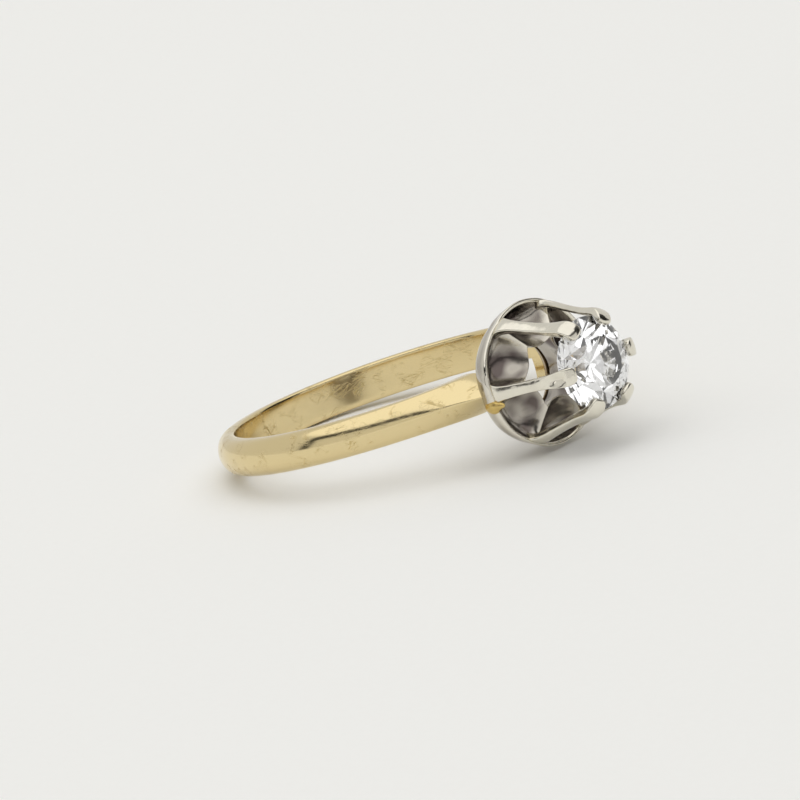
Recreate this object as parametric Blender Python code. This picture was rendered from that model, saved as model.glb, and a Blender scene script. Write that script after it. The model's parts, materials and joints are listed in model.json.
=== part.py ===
"""Six-claw solitaire ring with a buttercup head, lying on its side.

The design is drawn in the ring's own frame, in millimetres: the origin is the centre of the finger
hole, +X points to the stone, +Z is the finger's axis, and the near shoulder is on the -Y side.
The head is drawn in its own polar coordinates: rho from the stone's axis, psi around that axis from
the near shoulder, and u, the height along +X above the centre of the finger hole.
One empty, the parent of every piece, then scales the ring to metres and tilts it to its rest pose.
"""
import math

import bmesh
import bpy
from mathutils import Matrix, Vector

MM = 0.001
GAP = 0.02                     # between two pieces that touch

# Shank: a D-section hoop that turns into a knife edge at the shoulders
FINGER_RADIUS = 8.4
SHANK_THICKNESS = 1.12         # at the palm
SHANK_HALF_WIDTH = 0.98        # constant round the palm, so that the side walls there are flat
SHANK_WAIST = 1.0              # half width halfway round
PALM_ANGLE = 130               # degrees from the stone's axis where the palm's full width starts
WAIST_ANGLE = 60               # and where the waist does
SHOULDER_FLARE = 0.1           # extra half width beside the head
FLARE_FALL = 12.0              # degrees over which that flare dies away
SIDE_WALL = 0.42               # height of the flat side wall at the palm
SIDE_WALL_RISE = 0.4           # extra height of that wall beside the head
WALL_FALL = 20.0               # degrees over which it dies away
SHOULDER_ANGLE = 18.5          # degrees from the stone's axis to the tip of the shoulder
SHOULDER_RISE = 2.05           # tip of the shoulder above the plain hoop
SHOULDER_FALL = 4.6            # degrees over which that rise dies away
SHOULDER_TOP = 11.0            # height u of the shoulder's flat tip
FLAT_TOP_ANGLE = 45.0          # within this angle the shoulders stay below their flat tips
KNIFE_FALL = 15.0              # degrees over which the knife edge turns into a round crown
SHANK_END_ANGLE = 12.0         # the hoop is cut here, inside the head
SHANK_STATIONS = 62
STATION_EASE = 0.55            # above 0, stations crowd together at the shoulders
SECTION_STEPS = 10

# Head: collet, scooped six-petal gallery, claws
PETALS = 6
COLLET_OUTER = 2.5
COLLET_INNER = 1.8             # at the top; the bore widens towards the finger
COLLET_BORE_FLARE = 0.3
COLLET_BOTTOM = 9.1
COLLET_TOP = 9.58
COLLET_SIDES = 48
GALLERY_BOTTOM = 9.6
LIP_RADIUS = 1.84              # the open centre, where a ridge between two petals ends
LIP_TOP = 11.8
TONGUE_RADIUS = 1.36           # the raised inner end of a petal reaches further in
TONGUE_TOP = 11.76
NOTCH_RADIUS = 3.78            # the rim where a claw stands
NOTCH_TOP = 11.2
LOBE_RADIUS = 3.92             # the rim in the middle of a petal
LOBE_TOP = 11.14
RIM_THICKNESS = 0.3
SCOOP_DEPTH = 1.1
BOWL_SHARE = 0.78               # how far out the bowl under the rim has swung, at
BOWL_RISE = 0.35                # this share of its height
RIDGE_AT_LIP = 0.07            # half width of the ridge between two petals
RIDGE_AT_RIM = 0.38
LIP_ROUND = 0.1                # how far the lip of the open centre is rounded over
LIP_EDGE = 0.12
RIM_ROUND = 0.08
RIM_WALL = 0.04                # how far the rim's outer wall leans in below its crest
SCOOP_STATIONS = (0.1, 0.24, 0.4, 0.56, 0.72, 0.86, 1.0)
SCOOP_SKEW = 0.85              # below 1, the scoop's deepest point lies nearer to the rim
ENVELOPE_STEPS = 90
ENVELOPE_START = 0.325         # share of a step by which the envelope misses the ridges' planes
ENVELOPE_CORE = 0.6
ENVELOPE_BELOW = 1.5           # the seat in the shoulders runs on below the collet
ENVELOPE_ABOVE = 1.0

# Stone: a round brilliant
STONE_RADIUS = 2.38
GIRDLE_HEIGHT = 15.0
GIRDLE_THICKNESS = 0.1
TABLE_SHARE = 0.57
CROWN_HEIGHT = 0.7
PAVILION_DEPTH = 2.28
KITE_SHARE = 0.83              # where the crown's kites meet the upper halves, as shares of the stone's
KITE_RISE = 0.46               # radius and of the crown's height
LOWER_HALF_SHARE = 0.24        # where the lower halves end, as shares of the radius and of the
LOWER_HALF_FALL = 0.78         # pavilion's depth

# Claws: flat strips that lean in from the rim and are bent over the girdle
CLAW_WIDTHS = (1.0, 0.78, 0.68, 0.64, 0.66, 0.8, 0.8, 0.58)
CLAW_THICKNESS = 0.36
CLAW_LEAN = ((0.3, 12.3), (0.62, 13.4), (0.88, 14.4))    # share of the way in to the girdle, height
CLAW_FOOT_RISE = 0.2           # the inside of the foot starts above the rim
CLAW_PLAY = 0.05               # between the bent-over tip and the crown
CLAW_BEND = (2.15, 2.28)       # radius of the bend inside and outside
CLAW_KNEE = (0.25, 0.3)        # how far the outside of the bend stands out from and over the girdle
CLAW_BACK = 0.46               # height of the strip's back over the girdle
CLAW_TIP = (0.07, 0.16)        # how far the tip's back is set out and up from its underside
CLAW_CHAMFER = 0.62            # share of the thickness at which the outer edges are rounded off
CLAW_FLAT = 0.72               # share of the width that stays flat
CLAW_REACH = 1.88              # radius at which the bent-over tip ends on the crown

# Solder beads in the corner between a shoulder's tip, the gallery and a claw's foot
SOLDER_RADII = (0.55, 0.28, 0.36)
SOLDER_PLACE = (11.05, 3.62, -0.6)

# Rest pose: the tilt is found by halving the range from flat to the steepest
STEEPEST_TILT = 30
TILT_HALVINGS = 40


# ---------------------------------------------------------------- materials

def material(name, colour, roughness, metallic, **extra):
    made = bpy.data.materials.new(name)
    made.use_nodes = True
    shader = made.node_tree.nodes["Principled BSDF"]
    shader.inputs["Base Color"].default_value = (*colour, 1.0)
    shader.inputs["Roughness"].default_value = roughness
    shader.inputs["Metallic"].default_value = metallic
    for socket, value in extra.items():
        shader.inputs[socket].default_value = value
    return made


# ---------------------------------------------------------------- mesh helpers

def add_object(name, bm, surface, parent, smooth_angle=None):
    """Turn a bmesh, drawn in millimetres, into an object with its faces pointing out."""
    bmesh.ops.recalc_face_normals(bm, faces=bm.faces)
    if bm.calc_volume(signed=True) < 0:
        bmesh.ops.reverse_faces(bm, faces=bm.faces)
    mesh = bpy.data.meshes.new(name)
    bm.to_mesh(mesh)
    bm.free()
    if smooth_angle is not None:
        mesh.shade_smooth()
        mesh.set_sharp_from_angle(angle=math.radians(smooth_angle))
    made = bpy.data.objects.new(name, mesh)
    bpy.context.scene.collection.objects.link(made)
    made.parent = parent
    if surface:
        mesh.materials.append(surface)
    return made


def as_cutter(made):
    made.hide_render = True
    made.display_type = "WIRE"
    return made


def cut(target, cutter):
    boolean = target.modifiers.new("cut by " + cutter.name, "BOOLEAN")
    boolean.operation = "DIFFERENCE"
    boolean.solver = "EXACT"
    boolean.object = cutter


def loft(rings, closed_path):
    """Skin a list of closed rings; the path either closes on itself or ends in two caps."""
    bm = bmesh.new()
    rows = [[bm.verts.new(point) for point in ring] for ring in rings]
    pairs = list(zip(rows, rows[1:]))
    if closed_path:
        pairs.append((rows[-1], rows[0]))
    else:
        bm.faces.new(list(reversed(rows[0])))
        bm.faces.new(rows[-1])
    for first, second in pairs:
        for i in range(len(first)):
            j = (i + 1) % len(first)
            bm.faces.new((first[i], first[j], second[j], second[i]))
    return bm


def head_point(rho, psi, u):
    return Vector((u, -rho * math.cos(psi), rho * math.sin(psi)))


def blend(a, b, t):
    return a + (b - a) * t


# ---------------------------------------------------------------- shank

def shank_section(angle):
    """The closed section of the hoop at an angle, in degrees, from the stone's axis."""
    from_tip = max(abs(angle) - SHOULDER_ANGLE, 0.0)
    palm = min(max((abs(angle) - WAIST_ANGLE) / (PALM_ANGLE - WAIST_ANGLE), 0.0), 1.0)
    palm = palm * palm * (3 - 2 * palm)
    flare = SHOULDER_FLARE * math.exp(-from_tip / FLARE_FALL) * (1 - palm)
    half = blend(SHANK_WAIST, SHANK_HALF_WIDTH, palm) + flare
    wall = SIDE_WALL + SIDE_WALL_RISE * math.exp(-from_tip / WALL_FALL)
    rise = SHOULDER_RISE * math.exp(-from_tip / SHOULDER_FALL)
    top = FINGER_RADIUS + SHANK_THICKNESS + rise
    if abs(angle) < FLAT_TOP_ANGLE:
        top = min(top, SHOULDER_TOP / math.cos(math.radians(angle)))
    knife = math.exp(-from_tip / KNIFE_FALL)
    points = []
    for i in range(SECTION_STEPS + 1):
        across = math.radians(-90 + 180 * i / SECTION_STEPS)
        round_crown = math.cos(across)
        peaked_crown = 1 - abs(math.sin(across))
        crown = blend(round_crown, peaked_crown, knife)
        radius = FINGER_RADIUS + wall + (top - FINGER_RADIUS - wall) * crown
        points.append((radius, half * math.sin(across)))
    points.append((FINGER_RADIUS, half))
    points.append((FINGER_RADIUS, -half))
    turn = math.radians(angle)
    return [Vector((r * math.cos(turn), r * math.sin(turn), w)) for r, w in points]


def shank_angles():
    """Stations from one shoulder round the palm to the other, closer together at the shoulders."""
    angles = []
    for i in range(SHANK_STATIONS + 1):
        along = -1 + 2 * i / SHANK_STATIONS
        eased = blend(along, math.sin(along * math.pi / 2), STATION_EASE)
        angles.append(180 + eased * (180 - SHANK_END_ANGLE))
    return angles


def build_shank(gold, parent):
    rings = [shank_section(angle - 360 if angle > 180 else angle) for angle in shank_angles()]
    return add_object("shank", loft(rings, False), gold, parent, 35)


# ---------------------------------------------------------------- head

def petal_angles():
    """Angles round the head, closer together beside the ridges between the petals."""
    steps = (0, 2.5, 5.5, 8.5, 13, 18, 24, 30, 36, 42, 47, 51.5, 54.5, 57.5)
    return [math.radians(60 * petal + step) for petal in range(PETALS) for step in steps]


def petal_share(psi, rho, ridge):
    """0 on the ridge between two petals, 1 in the middle of a petal."""
    sector = math.radians(360 / PETALS)
    from_ridge = abs((psi + sector / 2) % sector - sector / 2) * rho
    span = rho * sector / 2
    return min(max((from_ridge - ridge) / (span - ridge), 0.0), 1.0)


def rim(psi):
    share = math.sin(petal_share(psi, NOTCH_RADIUS, RIDGE_AT_RIM) * math.pi / 2) ** 0.8
    return blend(NOTCH_RADIUS, LOBE_RADIUS, share), blend(NOTCH_TOP, LOBE_TOP, share)


def petal_crest(psi, rho, ridge):
    """Like petal_share, rounded: it leaves the ridge steeply and is level in mid petal."""
    return math.sin(petal_share(psi, rho, ridge) * math.pi / 2) ** 0.7


def gallery_top(psi):
    """Points over the top of the flower at one angle, from the rim in to the edge of its centre."""
    rim_rho, rim_u = rim(psi)
    inner = petal_crest(psi, LIP_RADIUS, RIDGE_AT_LIP)
    inner_rho = blend(LIP_RADIUS, TONGUE_RADIUS, inner) + LIP_ROUND
    inner_u = blend(LIP_TOP, TONGUE_TOP, inner)
    points = [(rim_rho - RIM_ROUND, rim_u)]
    for t in SCOOP_STATIONS:
        rho = blend(rim_rho, inner_rho, t)
        crest = petal_crest(psi, rho, blend(RIDGE_AT_RIM, RIDGE_AT_LIP, t))
        scoop = SCOOP_DEPTH * crest * math.sin(math.pi * t ** SCOOP_SKEW)
        points.append((rho, blend(rim_u, inner_u, t) - scoop))
    return points


def gallery_skin(rim_rho, rim_u):
    """Points up the outside of the flower, from the collet to just under the rim."""
    under_rim = rim_u - RIM_THICKNESS
    return [(COLLET_OUTER, GALLERY_BOTTOM),
            (blend(COLLET_OUTER, rim_rho, BOWL_SHARE), blend(GALLERY_BOTTOM, under_rim, BOWL_RISE)),
            (rim_rho - RIM_WALL, under_rim - RIM_THICKNESS), (rim_rho, rim_u - RIM_ROUND)]


def gallery_section(psi):
    top = gallery_top(psi)
    inner_rho, inner_u = top[-1]
    hole = [(inner_rho - LIP_ROUND, inner_u - LIP_EDGE), (COLLET_INNER, GALLERY_BOTTOM)]
    return [head_point(rho, psi, u) for rho, u in gallery_skin(*rim(psi)) + top + hole]


def build_gallery(white_gold, parent):
    rings = [gallery_section(psi) for psi in petal_angles()]
    return add_object("buttercup_gallery", loft(rings, True), white_gold, parent, 40)


def build_head_envelope(parent):
    """A cutter with the outer shape of collet and gallery, which the shoulders fit round."""
    rings = []
    for step in range(ENVELOPE_STEPS):
        psi = math.tau * (step + ENVELOPE_START) / ENVELOPE_STEPS
        skin = [(rho + GAP, u - GAP) for rho, u in gallery_skin(*rim(psi))]
        low = COLLET_BOTTOM - ENVELOPE_BELOW
        high = NOTCH_TOP + ENVELOPE_ABOVE
        outline = [(ENVELOPE_CORE, low), (COLLET_OUTER + GAP, low)] + skin
        outline += [(skin[-1][0], high), (ENVELOPE_CORE, high)]
        rings.append([head_point(rho, psi, u) for rho, u in outline])
    return as_cutter(add_object("head_envelope", loft(rings, True), None, parent))


def build_base_collet(gold, parent):
    corners = ((COLLET_INNER + COLLET_BORE_FLARE, COLLET_BOTTOM), (COLLET_OUTER, COLLET_BOTTOM),
               (COLLET_OUTER, COLLET_TOP), (COLLET_INNER, COLLET_TOP))
    turns = [math.tau * i / COLLET_SIDES for i in range(COLLET_SIDES)]
    rings = [[head_point(rho, psi, u) for rho, u in corners] for psi in turns]
    add_object("base_collet", loft(rings, True), gold, parent, 40)


def build_claw(number, white_gold, parent):
    """One flat strip, from its foot on the rim up past the girdle and down onto the crown."""
    crown_slope = CROWN_HEIGHT / (STONE_RADIUS * (1 - TABLE_SHARE))
    girdle_top = GIRDLE_HEIGHT + GIRDLE_THICKNESS / 2
    clear = STONE_RADIUS + GAP

    def above_crown(rho):
        return girdle_top + (STONE_RADIUS - rho) * crown_slope + CLAW_PLAY

    thick = CLAW_THICKNESS
    foot = NOTCH_RADIUS - RIM_ROUND - thick
    leaning = [(blend(foot, clear, share), height) for share, height in CLAW_LEAN]
    bend_in, bend_out = CLAW_BEND
    knee_out, knee_up = CLAW_KNEE
    tip_out, tip_up = CLAW_TIP
    inner_line = [(foot, NOTCH_TOP + CLAW_FOOT_RISE)] + leaning
    inner_line += [(clear + GAP, GIRDLE_HEIGHT - GIRDLE_THICKNESS), (clear, girdle_top + GAP),
                   (bend_in, above_crown(bend_in)), (CLAW_REACH, above_crown(CLAW_REACH))]
    outer_line = [(foot + thick, NOTCH_TOP + GAP)] + [(rho + thick, height) for rho, height in leaning]
    outer_line += [(clear + thick, girdle_top), (clear + knee_out, girdle_top + knee_up),
                   (bend_out, girdle_top + CLAW_BACK),
                   (CLAW_REACH + tip_out, above_crown(CLAW_REACH) + tip_up)]
    psi = math.tau / PETALS * (number % PETALS)
    axis = head_point(1, psi, 0)
    side = Vector((1, 0, 0)).cross(axis)
    rings = []
    for (rho_in, u_in), (rho_out, u_out), width in zip(inner_line, outer_line, CLAW_WIDTHS):
        inner = head_point(rho_in, psi, u_in)
        outer = head_point(rho_out, psi, u_out)
        half = side * (width / 2)
        flat = half * CLAW_FLAT
        edge = blend(inner, outer, CLAW_CHAMFER)
        rings.append([inner - half, edge - half, outer - flat, outer + flat, edge + half, inner + half])
    return add_object(f"claw_{number}", loft(rings, False), white_gold, parent, 50)


def build_diamond(stone, parent):
    """The convex hull of a round brilliant's corners: table, crown, girdle, pavilion and culet."""
    top = GIRDLE_HEIGHT + GIRDLE_THICKNESS / 2
    bottom = GIRDLE_HEIGHT - GIRDLE_THICKNESS / 2
    table = STONE_RADIUS * TABLE_SHARE
    eighth = math.tau / 8
    corners = []
    for i in range(8):
        turn = i * eighth
        corners.append(head_point(table, turn, top + CROWN_HEIGHT))
        corners.append(head_point(STONE_RADIUS * KITE_SHARE, turn + eighth / 2,
                                  top + CROWN_HEIGHT * KITE_RISE))
        corners.append(head_point(STONE_RADIUS * LOWER_HALF_SHARE, turn + eighth / 2,
                                  bottom - PAVILION_DEPTH * LOWER_HALF_FALL))
    for i in range(16):
        turn = i * eighth / 2
        corners.append(head_point(STONE_RADIUS, turn, top))
        corners.append(head_point(STONE_RADIUS, turn, bottom))
    corners.append(head_point(0, 0, bottom - PAVILION_DEPTH))
    bm = bmesh.new()
    for corner in corners:
        bm.verts.new(corner)
    hull = bmesh.ops.convex_hull(bm, input=bm.verts)
    loose = [part for part in hull["geom_interior"] if isinstance(part, bmesh.types.BMVert)]
    bmesh.ops.delete(bm, geom=loose, context="VERTS")
    bmesh.ops.dissolve_limit(bm, angle_limit=math.radians(0.5), verts=bm.verts, edges=bm.edges)
    add_object("diamond", bm, stone, parent)


# ---------------------------------------------------------------- solder

def solder_bead(side, clearance):
    bm = bmesh.new()
    bmesh.ops.create_icosphere(bm, subdivisions=2, radius=1)
    bmesh.ops.scale(bm, vec=[radius + clearance for radius in SOLDER_RADII], verts=bm.verts)
    u, v, w = SOLDER_PLACE
    bmesh.ops.translate(bm, vec=(u, side * v, w), verts=bm.verts)
    return bm


def build_solder(name, side, gold, parent):
    """A bead, and the cutter for the pocket that it fills in its neighbours."""
    add_object(name, solder_bead(side, 0.0), gold, parent, 40)
    return as_cutter(add_object(name + "_pocket", solder_bead(side, GAP), None, parent))


# ---------------------------------------------------------------- rest pose

def settle(ring):
    """Tilt the ring until palm and head both touch z = 0, and centre it over the origin."""
    bpy.context.view_layer.update()
    graph = bpy.context.evaluated_depsgraph_get()
    points = []
    for child in ring.children:
        if not child.hide_render:
            solid = child.evaluated_get(graph)
            points.extend(vertex.co.copy() for vertex in solid.data.vertices)

    def lowest(tilt, front):
        heights = [p.x * math.sin(tilt) + p.z * math.cos(tilt) for p in points if (p.x > 0) == front]
        return min(heights)

    low, high = 0.0, math.radians(STEEPEST_TILT)
    for _ in range(TILT_HALVINGS):
        tilt = (low + high) / 2
        if lowest(tilt, True) < lowest(tilt, False):
            low = tilt
        else:
            high = tilt
    turn = Matrix.Rotation(-tilt, 3, "Y")
    turned = [turn @ p for p in points]
    middle = [(min(p[k] for p in turned) + max(p[k] for p in turned)) / 2 for k in (0, 1)]
    ring.rotation_euler = (0, -tilt, 0)
    ring.scale = (MM, MM, MM)
    ring.location = Vector((-middle[0], -middle[1], -min(p.z for p in turned))) * MM


def main():
    for old in list(bpy.data.objects):
        bpy.data.objects.remove(old, do_unlink=True)
    ring = bpy.data.objects.new("ring", None)
    bpy.context.scene.collection.objects.link(ring)

    yellow_gold = material("yellow gold", (0.78, 0.6, 0.3), 0.2, 1.0)
    white_gold = material("white gold", (0.68, 0.66, 0.6), 0.2, 1.0)
    solder_gold = material("gold solder", (0.72, 0.56, 0.26), 0.35, 1.0)
    stone = material("diamond", (0.95, 0.95, 0.95), 0.0, 0.0, IOR=2.417)

    shank = build_shank(yellow_gold, ring)
    cut(shank, build_head_envelope(ring))
    build_base_collet(yellow_gold, ring)
    gallery = build_gallery(white_gold, ring)
    claws = [build_claw(number, white_gold, ring) for number in range(1, PETALS + 1)]
    build_diamond(stone, ring)
    for name, side, claw in (("solder_near", -1, claws[5]), ("solder_far", 1, claws[2])):
        pocket = build_solder(name, side, solder_gold, ring)
        for neighbour in (shank, gallery, claw):
            cut(neighbour, pocket)
    settle(ring)


main()
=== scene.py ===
import json
import math

import bmesh
import bpy
from mathutils import Matrix, Quaternion, Vector


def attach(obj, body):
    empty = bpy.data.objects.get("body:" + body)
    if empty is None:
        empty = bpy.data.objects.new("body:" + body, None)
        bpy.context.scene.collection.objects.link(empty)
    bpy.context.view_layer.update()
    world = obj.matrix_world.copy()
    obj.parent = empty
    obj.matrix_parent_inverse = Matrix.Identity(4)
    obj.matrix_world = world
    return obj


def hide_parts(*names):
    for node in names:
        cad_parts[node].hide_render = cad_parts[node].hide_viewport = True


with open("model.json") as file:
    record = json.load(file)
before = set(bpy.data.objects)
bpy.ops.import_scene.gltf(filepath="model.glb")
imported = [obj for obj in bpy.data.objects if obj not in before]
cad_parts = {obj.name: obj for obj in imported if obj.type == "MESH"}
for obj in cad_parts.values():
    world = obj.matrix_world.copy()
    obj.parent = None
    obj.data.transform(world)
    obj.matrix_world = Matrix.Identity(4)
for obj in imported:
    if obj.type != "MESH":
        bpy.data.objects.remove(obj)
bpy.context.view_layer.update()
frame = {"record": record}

MM = 0.001

# The ring is modelled in millimetres in its own frame, as on the bench: the origin is the centre of
# the finger hole, +X points to the stone and +Z is the finger's axis. Its place comes from the record's
# mounts.
MOUNTS = {mount["name"]: mount for mount in frame["record"]["mounts"]}
HOLE_CENTRE = Vector(MOUNTS["finger_hole"]["pos_m"])
TO_STONE = Vector(MOUNTS["stone_table"]["axis"]).normalized()
FINGER_AXIS = Vector(MOUNTS["finger_hole"]["axis"]).normalized()
ACROSS = FINGER_AXIS.cross(TO_STONE)
RING_AXES = Matrix((TO_STONE, ACROSS, FINGER_AXIS)).transposed()
RING_TURN = RING_AXES.to_quaternion()
RING_PLACE = Matrix.Translation(HOLE_CENTRE) @ RING_AXES.to_4x4() @ Matrix.Scale(MM, 4)

# The head is modelled upright on the bench: +Z is the stone's axis, measured from the centre of the
# finger hole, and +X is the side of the near shoulder.
HEAD_TO_RING = Matrix(((0, 0, 1, 0), (-1, 0, 0, 0), (0, -1, 0, 0), (0, 0, 0, 1)))
HEAD_PLACE = RING_PLACE @ HEAD_TO_RING

# Sizes in millimetres and degrees. Shank: its half widths, heights and end angles
FINGER_RADIUS = 8.4
PALM_THICKNESS = 1.12
PALM_HALF_WIDTH = 0.98
WAIST_HALF_WIDTH = 0.96
PALM_STARTS = 60
PALM_BLEND = 70
SHOULDER_TOP = 11.0
SHOULDER_ANGLE = 18.5
SHOULDER_FLAT_TO = 45
SHOULDER_RISE, RISE_FADE = 2.05, 4.6
SHOULDER_FLARE, FLARE_FADE = 0.1, 12
PALM_WALL = 0.42
SHOULDER_WALL, WALL_FADE = 0.4, 20
KNIFE_FADE = 15
KNIFE_BLUNTING = 0.012
SHANK_END_ANGLE = 12.0
SHANK_STATIONS = 40
# the finger side of the section: (out from the finger line, share of the half width)
INNER_FACE = ((0.0, 0.5), (0.0, 0.88), (0.04, 0.96), (0.15, 1.0))
CROWN_STEPS = (-90, -76, -60, -45, -30, -15, -5)

# Head: collet, claws and stone
PETALS = 6
CLAW_TURN = 360 / PETALS
COLLET_OUTER = 2.5
COLLET_INNER = 1.8
COLLET_MOUTH = 2.1
COLLET_BOTTOM = 9.1
COLLET_TOP = 9.6
COLLET_ROUNDING = 0.05
DRILL_LENGTH = 2.6
DRILL_CENTRE = 8.4
STONE_RADIUS = 2.38
GIRDLE_HEIGHT = 15.0
GIRDLE_THICKNESS = 0.1
TABLE_SHARE = 0.57
CROWN_HEIGHT = 0.7
PAVILION_DEPTH = 2.28
BLANK_DEPTH = 6
UPPER_HALF_STEEPER = 6.5
LOWER_HALF_STEEPER = 1.6
STAR_FLATTER = 12

# Solder beads: half lengths, place beside the shoulder's tip and how the end at the head is spread
SOLDER_RADII = (0.62, 0.26, 0.4)
SOLDER_OUT, SOLDER_ASIDE, SOLDER_DOWN = 11.0, 3.6, -0.58
SOLDER_HEAD_END = 0.15
SOLDER_SPREAD = (1.3, 0.8, 0.6)

# Limits for telling corners apart, for joining them and for cutting, and the sharpest angle between two
# faces that is still shaded as round
STATION_GAP = 0.001
SAME_PLACE = 0.0004
DOUBLES = 0.0005
MIRROR_MERGE = 0.001
CUT_TOLERANCE = 0.00001
ROUND_UP_TO = 40


# ---------------------------------------------------------------- bench helpers

def clear_selection():
    if bpy.context.object and bpy.context.object.mode == "EDIT":
        bpy.ops.object.mode_set(mode="OBJECT")
    bpy.ops.object.select_all(action="DESELECT")


def make_active(piece):
    clear_selection()
    bpy.context.view_layer.objects.active = piece
    piece.select_set(True)


def start(add, name, **settings):
    """Add a primitive on an empty selection and name it."""
    clear_selection()
    add(**settings)
    piece = bpy.context.object
    piece.name = name
    piece.data.name = name
    return piece


def apply_place():
    bpy.ops.object.transform_apply(location=True, rotation=True, scale=True)


def edit(piece):
    make_active(piece)
    bpy.ops.object.mode_set(mode="EDIT")
    bpy.ops.mesh.select_mode(type="VERT")
    bpy.ops.mesh.select_all(action="DESELECT")


def finish_edit():
    bpy.ops.object.mode_set(mode="OBJECT")


def pick_all():
    bpy.ops.mesh.select_all(action="SELECT")


def pick(piece, test):
    """In edit mode, select the corners whose place passes the test."""
    bm = bmesh.from_edit_mesh(piece.data)
    for face in bm.faces:
        face.select = False
    for edge in bm.edges:
        edge.select = False
    for corner in bm.verts:
        corner.select = test(corner.co)
    bm.select_flush(True)
    bmesh.update_edit_mesh(piece.data)


def pick_edges(piece, test):
    """In edit mode, select the edges whose two ends pass the test."""
    bpy.ops.mesh.select_mode(type="EDGE")
    bm = bmesh.from_edit_mesh(piece.data)
    for edge in bm.edges:
        edge.select = test(edge.verts[0].co, edge.verts[1].co)
    bmesh.update_edit_mesh(piece.data)


def move_picked(piece, move):
    """In edit mode, move, turn and stretch the selected corners in one go."""
    bm = bmesh.from_edit_mesh(piece.data)
    for corner in bm.verts:
        if corner.select:
            corner.co = move @ corner.co
    bmesh.update_edit_mesh(piece.data)


def stretch_picked(stretch, centre=(0, 0, 0)):
    bpy.ops.transform.resize(value=stretch, center_override=centre)


def shift_picked(shift):
    bpy.ops.transform.translate(value=shift)


def apply_modifier(piece, kind, **settings):
    make_active(piece)
    modifier = piece.modifiers.new(kind.lower(), kind)
    for name, value in settings.items():
        setattr(modifier, name, value)
    bpy.ops.object.modifier_apply(modifier=modifier.name)


def subdivide(piece, levels):
    apply_modifier(piece, "SUBSURF", levels=levels, render_levels=levels)


def smooth(piece, angle=None):
    make_active(piece)
    if angle is None:
        bpy.ops.object.shade_smooth()
    else:
        bpy.ops.object.shade_smooth_by_angle(angle=math.radians(angle))


def turn_outwards(piece):
    edit(piece)
    pick_all()
    bpy.ops.mesh.remove_doubles(threshold=DOUBLES)
    bpy.ops.mesh.normals_make_consistent(inside=False)
    finish_edit()


def set_in_place(piece, place, surface, slot, *nodes):
    """Put a finished piece into the ring, ride it on the body and hide the parts that it stands for."""
    piece.data.transform(place)
    piece.data.materials.clear()
    piece.data.materials.append(surface)
    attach(piece, "root")
    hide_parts(*nodes)


def blend(a, b, t):
    return a + (b - a) * t


def share(value, low, span):
    """How far a value is through a span that starts at low, from 0 to 1."""
    return min(max((value - low) / span, 0.0), 1.0)


def from_axis(co):
    return math.hypot(co.x, co.y)


# ---------------------------------------------------------------- colours and nodes

def hex_colour(code):
    """sRGB hex to linear colour with alpha."""
    values = [int(code[i:i + 2], 16) / 255 for i in (0, 2, 4)]
    return tuple(v / 12.92 if v <= 0.04045 else ((v + 0.055) / 1.055) ** 2.4 for v in values) + (1.0,)


def new_material(name, **settings):
    """A material, its node tree, its shader and the place on the piece that its textures follow."""
    material = bpy.data.materials.new(name)
    material.use_nodes = True
    tree = material.node_tree
    shader = tree.nodes["Principled BSDF"]
    for socket, value in settings.items():
        shader.inputs[socket.replace("_", " ")].default_value = value
    return material, tree, shader, add_node(tree, "ShaderNodeTexCoord").outputs["Object"]


def add_node(tree, kind, links=(), values=(), **settings):
    """Add a node; links are (socket, output) pairs and values are (socket, value) pairs."""
    node = tree.nodes.new(kind)
    for name, value in settings.items():
        setattr(node, name, value)
    for socket, value in values:
        node.inputs[socket].default_value = value
    for socket, output in links:
        tree.links.new(output, node.inputs[socket])
    return node


def noise(tree, place, scale, detail, distortion=0.0):
    return add_node(tree, "ShaderNodeTexNoise", [("Vector", place)],
                    [("Scale", scale), ("Detail", detail), ("Distortion", distortion)]).outputs["Fac"]


def two_tones(tree, amount, first, second):
    """Between two hex colours, by an output of 0 to 1."""
    return add_node(tree, "ShaderNodeMix", [("Factor", amount)],
                    [("A", hex_colour(first)), ("B", hex_colour(second))],
                    data_type="RGBA").outputs["Result"]


def remap(tree, value, *limits):
    return add_node(tree, "ShaderNodeMapRange", [("Value", value)], limits).outputs["Result"]


def relief(tree, height, strength, depth, over=None, sunk=False):
    """A bump of a depth in millimetres, on top of another one if that is given."""
    links = [("Height", height)] + ([("Normal", over)] if over else [])
    return add_node(tree, "ShaderNodeBump", links, [("Strength", strength), ("Distance", depth * MM)],
                    invert=sunk).outputs["Normal"]


def join(tree, first, second, operation="MAXIMUM"):
    return add_node(tree, "ShaderNodeMath", [(0, first), (1, second)],
                    operation=operation).outputs["Value"]


def scratches(tree, place, turn, seed, length):
    """Thin hair scratches that all run one way, broken up so that each is a millimetre or two long;
    turn is that way as three angles in degrees."""
    angles = [math.radians(angle) for angle in turn]
    offset = ("Location", (seed * MM, 0, seed * MM))
    mapping = add_node(tree, "ShaderNodeMapping", [("Vector", place)],
                       [("Rotation", angles), offset,
                        ("Scale", (MM / length, MM / SCRATCH_WIDTH, MM / SCRATCH_WIDTH))],
                       vector_type="TEXTURE")
    streaks = noise(tree, mapping.outputs["Vector"], scale=1.0, detail=0.0, distortion=0.3)
    # a line runs where the streaks pass through their middle value
    line = add_node(tree, "ShaderNodeMath", [(0, streaks)], [(1, 0.5), (2, SCRATCH_THINNESS)],
                    operation="COMPARE")
    shifted = add_node(tree, "ShaderNodeMapping", [("Vector", place)],
                       [offset, ("Scale", [BREAKS_PER_MM / MM] * 3)])
    breaks = noise(tree, shifted.outputs["Vector"], scale=1.0, detail=1.0)
    kept = remap(tree, breaks, ("From Min", 0.5), ("From Max", 0.62))
    return join(tree, line.outputs["Value"], kept, "MULTIPLY")


# ---------------------------------------------------------------- materials

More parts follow.
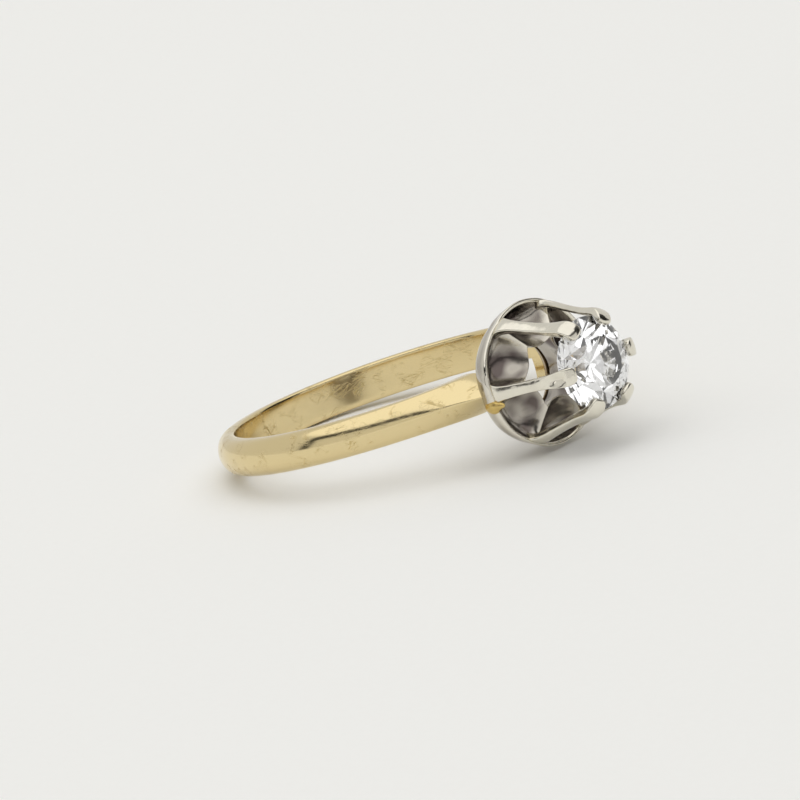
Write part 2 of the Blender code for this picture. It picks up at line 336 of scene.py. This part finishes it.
# Hair scratches: their width and the limit that makes them thin, and how often they are broken
SCRATCH_WIDTH, SCRATCH_THINNESS = 0.3, 0.007
BREAKS_PER_MM = 1.2
# Their directions in degrees, seeds that keep them apart and how far they are drawn out in millimetres
GOLD_SCRATCHES = (
    ((20, 35, 40), 1.7, 3), ((-30, 50, 110), 5.1, 4), ((70, -25, -35), 9.3, 3.5),
    ((10, 80, 15), 12.9, 4.5), ((-50, -60, 70), 16.2, 3), ((35, -70, -80), 21.4, 4),
    ((-15, 25, -60), 26.7, 3.5),
)
WHITE_SCRATCHES = (((15, 60, 25), 3.3, 3), ((80, 10, -50), 7.9, 4))
# How much rougher scratches and hollows make white gold
SCRATCH_DULLING = 0.11


def all_scratches(tree, place, sets):
    marks = scratches(tree, place, *sets[0])
    for one in sets[1:]:
        marks = join(tree, marks, scratches(tree, place, *one))
    return marks


def polished_yellow_gold():
    """18 ct yellow gold, drawn, filed and polished, then worn: a soft mirror with hair scratches."""
    material, tree, shader, place = new_material("polished 18 ct yellow gold", Metallic=1.0)
    marks = all_scratches(tree, place, GOLD_SCRATCHES)
    # patches of handling wear, a few millimetres across
    wear = noise(tree, place, scale=0.4 / MM, detail=3.0)
    patch = add_node(tree, "ShaderNodeValToRGB", [("Fac", wear)])
    patch.color_ramp.elements[0].position = 0.36
    patch.color_ramp.elements[1].position = 0.52
    worn = join(tree, marks, patch.outputs["Color"], "MULTIPLY")
    tree.links.new(two_tones(tree, worn, "E6D3A3", "CDB884"), shader.inputs["Base Color"])
    rough = remap(tree, worn, ("To Min", 0.15), ("To Max", 0.4))
    tree.links.new(rough, shader.inputs["Roughness"])
    # slight unevenness of a hand-filed surface, about 1.5 mm between waves
    waves = noise(tree, place, scale=0.65 / MM, detail=1.0)
    uneven = relief(tree, waves, strength=0.25, depth=0.05)
    groove = relief(tree, worn, strength=0.25, depth=0.01, over=uneven, sunk=True)
    tree.links.new(groove, shader.inputs["Normal"])
    return material


def cast_white_gold(name, colour, roughness, patina_and_shade_colour=None):
    """18 ct white gold without plating, cast and hand polished: warm grey, faintly rippled. Where the
    piece carries the attribute for its hollows, they take the darker colour given as painted shade, with
    some patina."""
    material, tree, shader, place = new_material(name, Metallic=1.0)
    ripple = noise(tree, place, scale=1.0 / MM, detail=1.5)
    marks = all_scratches(tree, place, WHITE_SCRATCHES)
    surface = two_tones(tree, ripple, colour, "DCD7CA")
    dull = marks
    if patina_and_shade_colour:
        # the hollows are greyed by the piece's attribute: painted shade, with some patina
        patina_and_painted_shade = add_node(tree, "ShaderNodeAttribute", attribute_name="patina_and_painted_shade").outputs["Fac"]
        cloud = noise(tree, place, scale=0.8 / MM, detail=1.0)
        uneven = remap(tree, cloud, ("From Min", 0.38), ("From Max", 0.6),
                       ("To Min", 0.5), ("To Max", 1.0))
        grey = add_node(tree, "ShaderNodeMix",
                        [("Factor", join(tree, patina_and_painted_shade, uneven, "MULTIPLY")), ("A", surface)],
                        [("B", hex_colour(patina_and_shade_colour))], data_type="RGBA")
        surface = grey.outputs["Result"]
        dull = join(tree, marks, patina_and_painted_shade)
    tree.links.new(surface, shader.inputs["Base Color"])
    rough = remap(tree, dull, ("To Min", roughness), ("To Max", roughness + SCRATCH_DULLING))
    tree.links.new(rough, shader.inputs["Roughness"])
    cast = relief(tree, ripple, strength=0.4, depth=0.15)
    groove = relief(tree, marks, strength=0.3, depth=0.01, over=cast, sunk=True)
    tree.links.new(groove, shader.inputs["Normal"])
    return material


def unpolished_gold(name, bright, dull):
    """Gold left as it was cast or flowed, not polished: satin, pitted and a little tarnished."""
    material, tree, shader, place = new_material(name, Metallic=1.0, Roughness=0.26)
    pits = noise(tree, place, scale=5.0 / MM, detail=3.0)
    tree.links.new(two_tones(tree, pits, bright, dull), shader.inputs["Base Color"])
    pitted = relief(tree, pits, strength=0.5, depth=0.03)
    tree.links.new(pitted, shader.inputs["Normal"])
    return material


def cut_diamond():
    """Colourless diamond, cut and polished: clear, with flat mirror facets."""
    material, tree, shader, place = new_material("cut diamond", Roughness=0.0, IOR=2.417,
                                                 Transmission_Weight=1.0)
    # faint inner clouds, about 1 mm across
    cloud = noise(tree, place, scale=1.0 / MM, detail=2.0)
    tree.links.new(two_tones(tree, cloud, "FFFFFF", "FAFBFF"), shader.inputs["Base Color"])
    return material


def matte_board():
    """Off-white studio board."""
    material, tree, shader, place = new_material("matte off-white board", Roughness=0.9)
    grain = noise(tree, place, scale=2.0 / MM, detail=2.0)
    tree.links.new(two_tones(tree, grain, "F3F3F1", "F5F5F3"), shader.inputs["Base Color"])
    return material


def black_felt():
    return new_material("black felt", Base_Color=hex_colour("1C1B1A"), Roughness=1.0)[0]


# ---------------------------------------------------------------- camera, floor and light

# The view in the ring's own frame, in millimetres and degrees; lens and sensor in millimetres
VIEW_CENTRE = (2.353, -1.84, 0.222)
VIEW_AZIMUTH, VIEW_ELEVATION, VIEW_ROLL = 48.98, 7.8, -18.79
VIEW_DISTANCE = 486.5
LENS, SENSOR = 432, 36

# Dark flags: left and right azimuths, then low and high elevations, in degrees
FLAGS = (
    ("flag_band", -16, 125, 23, 33),
    ("flag_upright", -24, -14, 0, 33),
    ("flag_right", 120, 158, 4, 40),
)
FLAG_REACH = 0.62
BOARD_RADIUS = 1.5


def direction(azimuth, elevation):
    a = math.radians(azimuth)
    e = math.radians(elevation)
    return Vector((math.sin(a) * math.cos(e), -math.cos(a) * math.cos(e), math.sin(e)))


def build_camera():
    data = bpy.data.cameras.new("camera")
    camera = bpy.data.objects.new("camera", data)
    bpy.context.scene.collection.objects.link(camera)
    bpy.context.scene.camera = camera
    data.lens = LENS
    data.sensor_width = SENSOR
    data.clip_start = 0.01
    data.clip_end = 10
    back = direction(VIEW_AZIMUTH, VIEW_ELEVATION)
    camera.location = RING_PLACE @ (Vector(VIEW_CENTRE) + back * VIEW_DISTANCE)
    facing = (-back).to_track_quat("-Z", "Y") @ Quaternion((0, 0, 1), math.radians(VIEW_ROLL))
    camera.rotation_euler = (RING_TURN @ facing).to_euler()


def soft_light(name, azimuth, elevation, distance, size, power):
    """A round soft light that faces the ring: degrees, metres and watts."""
    data = bpy.data.lights.new(name, "AREA")
    data.shape = "DISK"
    data.size = size
    data.energy = power
    light = bpy.data.objects.new(name, data)
    bpy.context.scene.collection.objects.link(light)
    light.location = direction(azimuth, elevation) * distance
    light.rotation_euler = (-light.location).to_track_quat("-Z", "Y").to_euler()
    return light


def build_flag(name, left, right, low, high, felt):
    """A curved dark card, hidden from the camera and from light that has passed through the stone."""
    bottom, top = (FLAG_REACH * math.tan(math.radians(angle)) for angle in (low, high))
    flag = start(bpy.ops.mesh.primitive_cylinder_add, name, vertices=180, radius=FLAG_REACH,
                 depth=top - bottom, end_fill_type="NOTHING", location=(0, 0, (top + bottom) / 2))
    edit(flag)
    pick(flag, lambda co: not left < math.degrees(math.atan2(co.x, -co.y)) < right)
    bpy.ops.mesh.delete(type="VERT")
    finish_edit()
    flag.data.materials.append(felt)
    flag.visible_camera = False
    flag.visible_transmission = False


def build_studio():
    board = start(bpy.ops.mesh.primitive_circle_add, "floor", vertices=96, radius=BOARD_RADIUS,
                  fill_type="NGON", location=(0, 0, 0))
    board.data.materials.append(matte_board())
    world = bpy.data.worlds.new("studio")
    bpy.context.scene.world = world
    world.use_nodes = True
    sky = world.node_tree.nodes["Background"]
    sky.inputs["Color"].default_value = hex_colour("F6F5F2")
    sky.inputs["Strength"].default_value = 0.76
    soft_light("overhead", azimuth=60, elevation=72, distance=0.9, size=2.3, power=5.6)
    fill = soft_light("fill", azimuth=0, elevation=80, distance=0.9, size=0.8, power=0.7)
    fill.visible_glossy = False
    # a soft box for the stone alone: only light that has passed through the stone shows it
    box = soft_light("stone_box", azimuth=49, elevation=34, distance=0.8, size=0.95, power=1.5)
    box.visible_glossy = False
    box.visible_diffuse = False
    # dark flags on the camera's side, as jewellers' photographers use to draw the edges of polished
    # metal: a narrow band above eye level, its upright at the left end and a taller card at the right
    felt = black_felt()
    for flag in FLAGS:
        build_flag(*flag, felt)
    bpy.context.scene.view_settings.view_transform = "Standard"


# ---------------------------------------------------------------- shank

def shank_shape(angle):
    """Half the section of the hoop at an angle from the stone's axis, as (out, aside) from the finger
    line: the points of the inside, then the side wall and the crown up to its ridge."""
    from_tip = max(angle - SHOULDER_ANGLE, 0.0)
    palm = share(angle, PALM_STARTS, PALM_BLEND)
    palm = palm * palm * (3 - 2 * palm)
    flare = SHOULDER_FLARE * math.exp(-from_tip / FLARE_FADE) * (1 - palm)
    half = blend(WAIST_HALF_WIDTH, PALM_HALF_WIDTH, palm) + flare
    wall = PALM_WALL + SHOULDER_WALL * math.exp(-from_tip / WALL_FADE)
    rise = SHOULDER_RISE * math.exp(-from_tip / RISE_FADE)
    top = FINGER_RADIUS + PALM_THICKNESS + rise
    if angle < SHOULDER_FLAT_TO:
        top = min(top, SHOULDER_TOP / math.cos(math.radians(angle)))
    top -= FINGER_RADIUS
    knife = math.exp(-from_tip / KNIFE_FADE)
    points = [(out, half * part) for out, part in INNER_FACE]
    for step in CROWN_STEPS:
        across = math.radians(step)
        crown = blend(math.cos(across), 1 - abs(math.sin(across)), knife)
        points.append((wall + (top - wall) * crown, half * abs(math.sin(across))))
    return [(0.0, 0.0)] + points + [(top - KNIFE_BLUNTING * knife, 0.0)]


def build_shank():
    """Half a bar is drawn out station by station from the palm, mirrored and bent round the finger."""
    shape = shank_shape(180)
    count = len(shape)
    bar = start(bpy.ops.mesh.primitive_circle_add, "shank_hoop", vertices=2 * count - 2, radius=1,
                fill_type="NOTHING", rotation=(0, math.pi / 2, 0))
    apply_place()
    # the bar lies along X with the finger side up at y = 0 and the crown down
    edit(bar)
    bm = bmesh.from_edit_mesh(bar.data)
    for corner in bm.verts:
        angle = math.atan2(corner.co.z, -corner.co.y)
        out, aside = shape[count - 1 - round(abs(angle) / math.pi * (count - 1))]
        corner.co = Vector((0, -out, math.copysign(aside, angle)))
    bmesh.update_edit_mesh(bar.data)
    step_angle = (180 - SHANK_END_ANGLE) / SHANK_STATIONS
    step = FINGER_RADIUS * math.radians(step_angle)
    pick_all()
    for station in range(1, SHANK_STATIONS + 1):
        bpy.ops.mesh.extrude_edges_move(TRANSFORM_OT_translate={"value": (step, 0, 0)})
        before = shape
        shape = shank_shape(180 - step_angle * station)
        here = step * station
        for (old_out, old_aside), (out, aside) in zip(before, shape):
            pick(bar, lambda co: abs(co.x - here) < STATION_GAP and abs(co.y + old_out) < SAME_PLACE
                 and abs(abs(co.z) - old_aside) < SAME_PLACE)
            stretch_picked((1, out / old_out if old_out else 1, aside / old_aside if old_aside else 1),
                           (here, 0, 0))
        pick(bar, lambda co: abs(co.x - here) < STATION_GAP)
    bpy.ops.mesh.edge_face_add()
    finish_edit()
    apply_modifier(bar, "MIRROR", use_axis=(True, False, False), use_clip=True,
                   merge_threshold=MIRROR_MERGE)
    apply_modifier(bar, "SIMPLE_DEFORM", deform_method="BEND", deform_axis="Z",
                   angle=2 * math.radians(180 - SHANK_END_ANGLE))
    turn_outwards(bar)
    subdivide(bar, 2)
    # from the bar's bend, whose middle is at (0, finger radius), to the ring's own frame
    bar.data.transform(Matrix.Rotation(math.radians(-90), 4, "Z")
                       @ Matrix.Translation((0, -FINGER_RADIUS, 0)))
    # the seat for the collet is drilled through both ends along the stone's axis
    drill = start(bpy.ops.mesh.primitive_cylinder_add, "collet_drill", vertices=96, radius=COLLET_OUTER,
                  depth=DRILL_LENGTH, rotation=(0, math.pi / 2, 0), location=(DRILL_CENTRE, 0, 0))
    apply_modifier(bar, "BOOLEAN", operation="DIFFERENCE", solver="EXACT", object=drill)
    bpy.data.objects.remove(drill)
    smooth(bar, ROUND_UP_TO)
    return bar


# ---------------------------------------------------------------- flower

# The flower's outline, ring by ring from the collet up the outside, over the rim, down the scoops, up
# to the edge of its open centre and down the bore; each ring gives (radius, height) at the ridge between
# two petals, beside it, on the petal's flank and in mid petal, whose angles in degrees come first
FLOWER_COLUMNS = (0, 3.5, 11, 30)
FLOWER_RINGS = (
    ((2.20, 9.60), (2.20, 9.60), (2.20, 9.60), (2.20, 9.60)),
    ((2.34, 9.62), (2.34, 9.62), (2.34, 9.62), (2.34, 9.62)),
    ((3.05, 9.84), (3.05, 9.83), (3.08, 9.80), (3.10, 9.76)),
    ((3.55, 10.20), (3.56, 10.19), (3.60, 10.15), (3.66, 10.08)),
    ((3.76, 10.60), (3.77, 10.59), (3.82, 10.56), (3.90, 10.48)),
    ((3.80, 10.95), (3.81, 10.94), (3.87, 10.92), (3.96, 10.86)),
    ((3.77, 11.16), (3.78, 11.15), (3.83, 11.14), (3.92, 11.10)),
    ((3.66, 11.24), (3.67, 11.23), (3.72, 11.22), (3.80, 11.19)),
    ((3.54, 11.22), (3.55, 11.18), (3.58, 11.14), (3.64, 11.10)),
    ((3.46, 11.22), (3.46, 11.06), (3.47, 10.84), (3.50, 10.76)),
    ((3.25, 11.26), (3.25, 11.04), (3.25, 10.50), (3.24, 10.30)),
    ((2.80, 11.42), (2.80, 11.18), (2.80, 10.44), (2.74, 10.16)),
    ((2.40, 11.60), (2.38, 11.36), (2.36, 10.76), (2.26, 10.56)),
    ((2.10, 11.74), (2.06, 11.56), (1.96, 11.20), (1.84, 11.08)),
    ((1.92, 11.82), (1.85, 11.72), (1.66, 11.54), (1.50, 11.50)),
    ((1.84, 11.84), (1.76, 11.78), (1.53, 11.72), (1.36, 11.76)),
    ((1.78, 11.78), (1.70, 11.72), (1.46, 11.70), (1.29, 11.76)),
    ((1.76, 11.40), (1.70, 11.38), (1.50, 11.40), (1.36, 11.42)),
    ((1.78, 10.50), (1.78, 10.50), (1.76, 10.50), (1.74, 10.50)),
    ((1.78, 9.60), (1.78, 9.60), (1.78, 9.60), (1.78, 9.60)),
)
# New rings are lifted clear, so that their corners are told from the others by height
LIFT, LIFTED_ABOVE = 20, 25
SIDE_SQUEEZE = 0.95
WALL_LOW, WALL_HIGH, WALL_OUTSIDE = 9.65, 10.97, 3.52
FOOT_BELOW, FOOT_OUTSIDE = 9.9, 2.5
RIDGE_CREASE, RIDGE_ABOVE, OPEN_CENTRE_EDGE = 0.85, 11.18, 1.75
SCOOP_CREASE, SCOOP_EDGE_ABOVE = 0.5, 11.08
SCOOP_EDGE_RADIUS, SCOOP_EDGE_BAND = 3.6, 0.07
# Painted shade with some patina: the line from the rim's crest to the edge of the open centre above
# which the flower stays bright, and how fast the grey sets in below it
CREST_HEIGHT, CREST_RADIUS, BRIGHT_SLOPE = 11.2, 3.5, 0.4
GREY_BELOW, GREY_DEPTH = 0.08, 0.4
SCOOPS_WITHIN, SCOOPS_EDGE = 3.56, 0.1
WALL_GREY, WALL_BELOW, WALL_EDGE = 0.45, 11.1, 0.25


def petal_side(co):
    """Degrees from the nearest ridge between two petals."""
    return abs((math.degrees(math.atan2(co.y, co.x)) + CLAW_TURN / 2) % CLAW_TURN - CLAW_TURN / 2)


def on_ridge(a, b):
    """The flat ridge between two petals, from the rim to the edge of the open centre."""
    return (petal_side(a) < 1 and petal_side(b) < 1
            and min(a.z, b.z) > RIDGE_ABOVE and from_axis(a) > OPEN_CENTRE_EDGE)


def on_scoop_edge(a, b):
    """The upper edge of a scoop, under the rim."""
    return (all(abs(from_axis(co) - SCOOP_EDGE_RADIUS) < SCOOP_EDGE_BAND for co in (a, b))
            and min(a.z, b.z) > SCOOP_EDGE_ABOVE)


def on_side_wall(co):
    """The outside between the foot and the rim, and the foot's own outer edge."""
    radius = from_axis(co)
    return (WALL_LOW < co.z < WALL_HIGH and radius > WALL_OUTSIDE
            or co.z < FOOT_BELOW and radius > FOOT_OUTSIDE)


def paint_shade_and_patina_in_hollows(flower):
    """Painted shade, with some patina, greys the scoops and leaves the rims and ridges bright: how far a
    corner lies below the line from the rim's crest to the edge of the open centre. The outside wall, and
    all else below the rim, gets a weaker painted shade."""
    patina_and_painted_shade = flower.data.attributes.new("patina_and_painted_shade", "FLOAT", "POINT")
    for corner, shade in zip(flower.data.vertices, patina_and_painted_shade.data):
        radius = from_axis(corner.co)
        bright_line = CREST_HEIGHT + max(CREST_RADIUS - radius, 0.0) * BRIGHT_SLOPE
        inside = share(SCOOPS_WITHIN - radius, 0, SCOOPS_EDGE)
        # a weaker painted shade on everything below the rim, the outside wall too
        wall = WALL_GREY * share(WALL_BELOW - corner.co.z, 0, WALL_EDGE)
        shade.value = max(share(bright_line - corner.co.z, GREY_BELOW, GREY_DEPTH) * inside, wall)


def build_flower():
    """A foot ring is drawn up ring by ring into six scooped petals, then smoothed with sharp ridges."""
    mirrored = {-column for column in FLOWER_COLUMNS[:-1]}
    angles = sorted(mirrored.union(FLOWER_COLUMNS))
    flower = start(bpy.ops.mesh.primitive_circle_add, "buttercup_flower", vertices=PETALS * len(angles),
                   radius=1, fill_type="NOTHING")
    edit(flower)
    bm = bmesh.from_edit_mesh(flower.data)
    ordered = sorted(bm.verts, key=lambda corner: math.atan2(corner.co.y, corner.co.x) % math.tau)
    turns = sorted((petal * CLAW_TURN + angle) % 360 for petal in range(PETALS) for angle in angles)
    foot_radius, foot_height = FLOWER_RINGS[0][0]
    for corner, turn in zip(ordered, turns):
        turn = math.radians(turn)
        corner.co = Vector((foot_radius * math.cos(turn), foot_radius * math.sin(turn), foot_height))
    bmesh.update_edit_mesh(flower.data)
    pick_all()
    before = FLOWER_RINGS[0]
    for ring in FLOWER_RINGS[1:]:
        bpy.ops.mesh.extrude_edges_move(TRANSFORM_OT_translate={"value": (0, 0, LIFT)})
        for column, old, new in zip(FLOWER_COLUMNS, before, ring):
            pick(flower, lambda co: co.z > LIFTED_ABOVE and abs(petal_side(co) - column) < 1)
            stretch_picked((new[0] / old[0], new[0] / old[0], 1))
            shift_picked((0, 0, new[1] - old[1]))
        pick(flower, lambda co: co.z > LIFTED_ABOVE)
        shift_picked((0, 0, -LIFT))
        before = ring
    # close the foot between the outside and the bore
    bpy.ops.mesh.select_mode(type="EDGE")
    bpy.ops.mesh.select_non_manifold(extend=False)
    bpy.ops.mesh.bridge_edge_loops()
    # the outside wall is drawn in a little above and below, and stays full towards the shoulders
    bpy.ops.mesh.select_mode(type="VERT")
    pick(flower, on_side_wall)
    stretch_picked((1, SIDE_SQUEEZE, 1))
    pick_edges(flower, on_ridge)
    bpy.ops.transform.edge_crease(value=RIDGE_CREASE)
    pick_edges(flower, on_scoop_edge)
    bpy.ops.transform.edge_crease(value=SCOOP_CREASE)
    finish_edit()
    turn_outwards(flower)
    subdivide(flower, 3)
    smooth(flower)
    paint_shade_and_patina_in_hollows(flower)
    return flower


# ---------------------------------------------------------------- collet

def build_collet():
    """A short tube, opened out at its foot and with its edges rounded."""
    collet = start(bpy.ops.mesh.primitive_cylinder_add, "base_collet_tube", vertices=72,
                   radius=COLLET_OUTER, depth=COLLET_TOP - COLLET_BOTTOM, end_fill_type="NOTHING",
                   location=(0, 0, (COLLET_TOP + COLLET_BOTTOM) / 2))
    apply_place()
    turn_outwards(collet)
    apply_modifier(collet, "SOLIDIFY", thickness=COLLET_OUTER - COLLET_INNER, offset=-1,
                   use_even_offset=True)
    edit(collet)
    middle = (COLLET_OUTER + COLLET_INNER) / 2
    pick(collet, lambda co: co.z < COLLET_BOTTOM + 0.01 and from_axis(co) < middle)
    stretch_picked((COLLET_MOUTH / COLLET_INNER, COLLET_MOUTH / COLLET_INNER, 1))
    finish_edit()
    apply_modifier(collet, "BEVEL", width=COLLET_ROUNDING, segments=3, limit_method="ANGLE")
    smooth(collet, ROUND_UP_TO)
    return collet


# ---------------------------------------------------------------- claws

# A claw, station by station from its foot to its tip: radius and height of the middle of the strip,
# its width and thickness, and how far it leans in from upright in degrees
CLAW_STATIONS = (
    (3.32, 10.94, 1.20, 0.36, 4),
    (3.44, 11.20, 1.06, 0.40, 8),
    (3.42, 11.50, 0.80, 0.38, 14),
    (3.28, 12.05, 0.66, 0.34, 16),
    (3.06, 12.80, 0.62, 0.32, 15),
    (2.82, 13.70, 0.62, 0.32, 13),
    (2.66, 14.40, 0.70, 0.37, 9),
    (2.60, 14.88, 0.78, 0.42, 6),
    (2.55, 15.16, 0.88, 0.44, 28),
    (2.40, 15.42, 0.92, 0.40, 58),
    (2.16, 15.55, 0.90, 0.36, 68),
    (1.98, 15.62, 0.74, 0.32, 70),
    (1.90, 15.65, 0.40, 0.20, 72),
)
CLAW_FACE_SWELL = 0.16
CLAW_ROUNDING, CLAW_SHARP_ANGLE = 0.07, 50
NOTCHED_CLAW = 6
NOTCH = (-0.3, 0, -0.04)
NOTCH_LOW, NOTCH_HIGH, NOTCH_OUTSIDE = 14.8, 15.3, 2.6
MIDDLE_LINE = 0.05
STRIP_OUTER_SIDE = 0.4


def on_notch(co):
    """The outer middle line of a claw where it bends over the girdle."""
    return NOTCH_LOW < co.z < NOTCH_HIGH and abs(co.y) < MIDDLE_LINE and co.x > NOTCH_OUTSIDE


def build_claw(number):
    """A flat strip drawn out from its foot, bent over the girdle and rounded off at the tip."""
    claw = start(bpy.ops.mesh.primitive_plane_add, f"claw_{number}_strip", size=1)
    edit(claw)
    pick_all()
    bpy.ops.mesh.subdivide(number_cuts=1)
    # the strip's outer face is slightly rounded
    pick(claw, lambda co: co.x > STRIP_OUTER_SIDE and abs(co.y) < MIDDLE_LINE)
    shift_picked((CLAW_FACE_SWELL, 0, 0))
    pick_all()
    before = None
    for radius, height, width, thick, lean in CLAW_STATIONS:
        place = (Matrix.Translation((radius, 0, height)) @ Matrix.Rotation(math.radians(-lean), 4, "Y")
                 @ Matrix.Diagonal((thick, width, 1, 1)))
        if before is None:
            move_picked(claw, place)
        else:
            bpy.ops.mesh.extrude_region_move()
            move_picked(claw, place @ before.inverted())
        before = place
    if number == NOTCHED_CLAW:
        # the setter's graver left a notch where this claw bends
        pick(claw, on_notch)
        shift_picked(NOTCH)
    finish_edit()
    turn_outwards(claw)
    apply_modifier(claw, "BEVEL", width=CLAW_ROUNDING, segments=2, limit_method="ANGLE",
                   angle_limit=math.radians(CLAW_SHARP_ANGLE))
    subdivide(claw, 2)
    smooth(claw)
    claw.data.transform(Matrix.Rotation(math.radians(-CLAW_TURN * (number % PETALS)), 4, "Z"))
    return claw


# ---------------------------------------------------------------- stone

def slice_off(angle, turn, radius, height):
    """Grind one flat facet: its slope from the girdle plane, its turn, and a point that it passes."""
    slope = math.radians(angle)
    way = Vector((math.cos(turn), math.sin(turn), 0))
    normal = way * math.sin(slope) + Vector((0, 0, math.cos(slope)))
    pick_all()
    bpy.ops.mesh.bisect(plane_co=way * radius + Vector((0, 0, height)), plane_no=normal,
                        use_fill=True, clear_outer=True, threshold=CUT_TOLERANCE)


def build_stone():
    """A 64-sided blank of the girdle's size, ground flat by 57 cuts as a round brilliant is."""
    top = GIRDLE_HEIGHT + GIRDLE_THICKNESS / 2
    bottom = GIRDLE_HEIGHT - GIRDLE_THICKNESS / 2
    table = top + CROWN_HEIGHT
    stone = start(bpy.ops.mesh.primitive_cylinder_add, "diamond_brilliant", vertices=64,
                  radius=STONE_RADIUS, depth=BLANK_DEPTH, location=(0, 0, GIRDLE_HEIGHT))
    apply_place()
    edit(stone)
    table_radius = STONE_RADIUS * TABLE_SHARE
    bezel = math.degrees(math.atan2(CROWN_HEIGHT, STONE_RADIUS - table_radius * math.cos(math.pi / 8)))
    pavilion = 180 - math.degrees(math.atan2(PAVILION_DEPTH, STONE_RADIUS))
    eighth = math.tau / 8
    half_radius = STONE_RADIUS * math.cos(eighth / 4)
    star_radius = table_radius * math.cos(eighth / 2)
    slice_off(0, 0, 0, table)
    for i in range(8):
        slice_off(bezel, i * eighth, STONE_RADIUS, top)
    for i in range(8):
        slice_off(pavilion, i * eighth, STONE_RADIUS, bottom)
    for i in range(16):
        turn = i * eighth / 2 + eighth / 4
        slice_off(bezel + UPPER_HALF_STEEPER, turn, half_radius, top)
        slice_off(pavilion - LOWER_HALF_STEEPER, turn, half_radius, bottom)
    for i in range(8):
        slice_off(bezel - STAR_FLATTER, (i + 0.5) * eighth, star_radius, table)
    finish_edit()
    turn_outwards(stone)
    return stone


# ---------------------------------------------------------------- solder

def build_solder(name, side):
    """Solder that flowed into the corner between a shoulder's tip, the flower and a claw's foot."""
    bead = start(bpy.ops.mesh.primitive_ico_sphere_add, name, subdivisions=3, radius=1)
    edit(bead)
    pick_all()
    stretch_picked(SOLDER_RADII)
    pick(bead, lambda co: co.x > SOLDER_HEAD_END)
    stretch_picked(SOLDER_SPREAD)
    pick_all()
    shift_picked((SOLDER_OUT, side * SOLDER_ASIDE, SOLDER_DOWN))
    finish_edit()
    subdivide(bead, 1)
    smooth(bead)
    return bead


# ---------------------------------------------------------------- the ring

build_camera()
build_studio()
GOLD = polished_yellow_gold()
WHITE = cast_white_gold("cast 18 ct white gold", "F2EEE0", 0.15)
# the flower's white gold carries painted shade, with some patina, in its hollows as colour 665D5A
FLOWER_WHITE = cast_white_gold("bright-cut 18 ct white gold with painted shade", "E8E3D7", 0.1, "665D5A")
SOLDER = unpolished_gold("flowed gold solder", "E6CC84", "B89C60")
COLLET_GOLD = unpolished_gold("unpolished 18 ct gold", "A6926E", "8C785A")
DIAMOND = cut_diamond()

set_in_place(build_shank(), RING_PLACE, GOLD, "yellow_gold", "shank")
set_in_place(build_collet(), HEAD_PLACE, COLLET_GOLD, "yellow_gold", "base_collet")
set_in_place(build_flower(), HEAD_PLACE, FLOWER_WHITE, "white_gold", "buttercup_gallery")
for claw_number in range(1, PETALS + 1):
    set_in_place(build_claw(claw_number), HEAD_PLACE, WHITE, "white_gold", f"claw_{claw_number}")
set_in_place(build_stone(), HEAD_PLACE, DIAMOND, "diamond", "diamond")
set_in_place(build_solder("solder_near_fillet", -1), RING_PLACE, SOLDER, "gold_solder", "solder_near")
set_in_place(build_solder("solder_far_fillet", 1), RING_PLACE, SOLDER, "gold_solder", "solder_far")
clear_selection()
